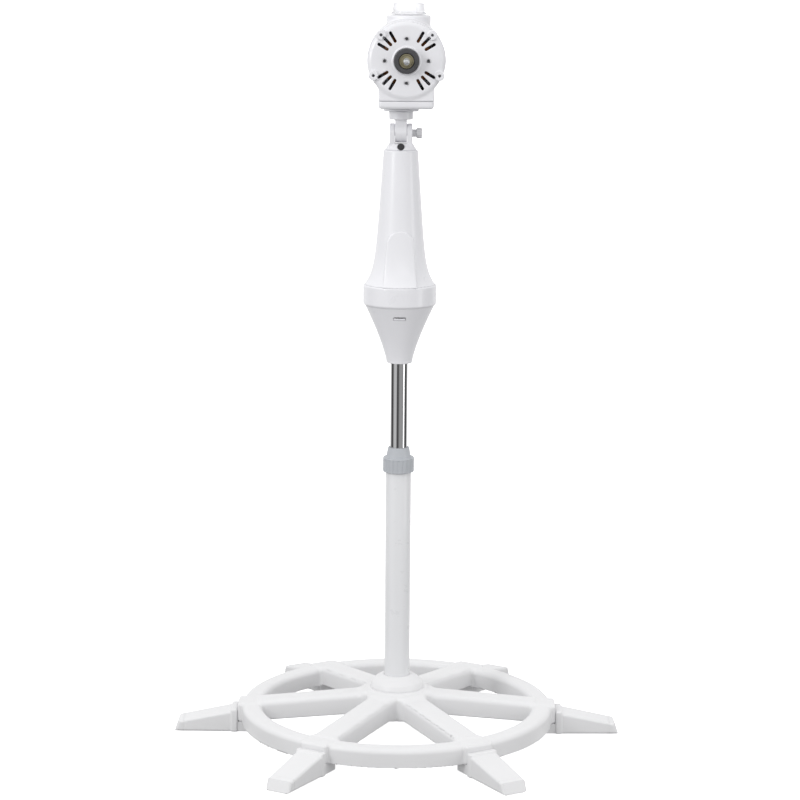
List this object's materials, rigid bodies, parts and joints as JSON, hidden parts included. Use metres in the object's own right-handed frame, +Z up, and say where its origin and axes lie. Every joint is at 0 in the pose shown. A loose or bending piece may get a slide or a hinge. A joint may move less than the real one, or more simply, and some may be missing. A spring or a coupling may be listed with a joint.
{
  "type": "pedestal fan stand",
  "caption": "Pedestal fan stand with ring base and plug-in legs, telescoping mast, flared control column, tilting neck and bare motor head.",
  "frame": {"origin": "centre of the base on the floor", "axes": "+Z up along the mast, -Y towards the front of the motor head, +X to the tilt knob's side"},
  "size_m": [0.668, 0.5986, 1.0845],
  "materials": {
    "white_plastic": "smooth moulded plastic with a soft gloss",
    "white_paint": "smooth white powder coat",
    "grey_plastic": "silver grey moulded plastic with a satin face",
    "knob_plastic": "pale grey moulded plastic",
    "dark_plastic": "dark moulded plastic",
    "cream_plastic": "cream plastic case",
    "board": "green board",
    "nylon": "natural nylon",
    "rubber": "soft dark rubber",
    "steel": "turned and zinc plated steel",
    "black_steel": "blackened steel",
    "core_steel": "laminated steel",
    "chrome": "bright chrome plate with fine lengthwise polish",
    "copper": "enamelled copper wire",
    "bronze": "oil filled sintered bronze"
  },
  "bodies": {
    "stand": {"base_frame": "white_plastic", "leg_1": "white_plastic", "leg_2": "white_plastic", "leg_3": "white_plastic", "leg_4": "white_plastic", "leg_5": "white_plastic", "leg_6": "white_plastic", "foot_pads": "rubber", "leg_screws": "steel", "pole_cover": "white_plastic", "lower_tube": "white_paint", "tube_plug": "steel", "hub_bolt": "steel", "hub_washer": "steel", "collet_sleeve": "dark_plastic"},
    "lock_nut": {"height_lock_nut": "grey_plastic"},
    "column": {"mast_tube": "chrome", "mast_bush": "dark_plastic", "mast_clamp_screw": "steel", "column_cup": "white_plastic", "column_front": "white_plastic", "column_rear": "white_plastic", "control_fascia": "white_plastic", "latch_tab": "white_plastic", "column_screws": "steel", "circuit_board": "board", "capacitor": "cream_plastic", "speed_switch": "dark_plastic", "cord_gland": "rubber", "neck_fork": "white_plastic", "neck_screw": "black_steel", "tilt_bolt": "steel", "tilt_washer": "knob_plastic"},
    "speed_knob": {"speed_knob": "white_plastic"},
    "tilt_knob": {"tilt_knob": "knob_plastic"},
    "neck": {"tilt_yoke": "white_plastic", "link_plate": "white_paint", "pivot_shaft": "black_steel", "pivot_clip": "steel", "link_rivet": "steel"},
    "link": {"oscillation_link": "steel"},
    "head": {"front_cover": "white_plastic", "guard_thread": "dark_plastic", "nose_bush": "steel", "cover_screws": "black_steel", "motor_housing": "white_plastic", "swivel_block": "white_plastic", "housing_screws": "steel", "stator_core": "core_steel", "windings": "copper", "front_bearing": "bronze", "rear_bearing": "bronze", "gearbox_case": "dark_plastic"},
    "rotor": {"motor_shaft": "steel", "rotor_core": "core_steel", "worm": "bronze"},
    "wheel": {"worm_wheel": "nylon"},
    "crank": {"crank_gear": "nylon"},
    "clutch": {"clutch_knob": "white_plastic"}
  },
  "joints": [
    {"name": "mast_slide", "type": "slide", "parent": "stand", "child": "column", "axis": [0, 0, 1], "range_m": [-0.12, 0.14]},
    {"name": "lock_nut_turn", "type": "hinge", "parent": "stand", "child": "lock_nut", "pos_m": [0, 0, 0.41], "axis": [0, 0, 1], "range_deg": [0, 180]},
    {"name": "speed_turn", "type": "hinge", "parent": "column", "child": "speed_knob", "pos_m": [0, 0.045, 0.716], "axis": [0, 1, 0], "range_deg": [0, 135]},
    {"name": "tilt_knob_turn", "type": "hinge", "parent": "column", "child": "tilt_knob", "pos_m": [0.026, 0, 0.899], "axis": [1, 0, 0], "range_deg": [-180, 180]},
    {"name": "head_tilt", "type": "hinge", "parent": "column", "child": "neck", "pos_m": [0, 0, 0.899], "axis": [1, 0, 0], "range_deg": [-20, 25]},
    {"name": "head_swing", "type": "hinge", "parent": "neck", "child": "head", "pos_m": [0, 0, 0.95], "axis": [0, 0, 1], "range_deg": [-42, 42]},
    {"name": "link_swing", "type": "hinge", "parent": "neck", "child": "link", "pos_m": [0, 0.017, 0.9354], "axis": [0, 0, 1], "range_deg": [-42, 42]},
    {"name": "shaft_spin", "type": "hinge", "parent": "head", "child": "rotor", "pos_m": [0.007, 0, 1.006], "axis": [0, 1, 0], "continuous": true},
    {"name": "wheel_turn", "type": "hinge", "parent": "head", "child": "wheel", "pos_m": [0.0218, 0.032, 0.98], "axis": [0, 0, 1], "continuous": true},
    {"name": "crank_turn", "type": "hinge", "parent": "head", "child": "crank", "pos_m": [0.007, 0.048, 0.95], "axis": [0, 0, 1], "continuous": true},
    {"name": "clutch_pull", "type": "slide", "parent": "head", "child": "clutch", "axis": [0, 0, 1], "range_m": [0, 0.007]}
  ],
  "couplings": [
    {"joint": "wheel_turn", "follows": "shaft_spin", "ratio": 0.041667},
    {"joint": "crank_turn", "follows": "shaft_spin", "ratio": -0.014323},
    {"joint": "link_swing", "follows": "head_swing", "ratio": 1}
  ]
}
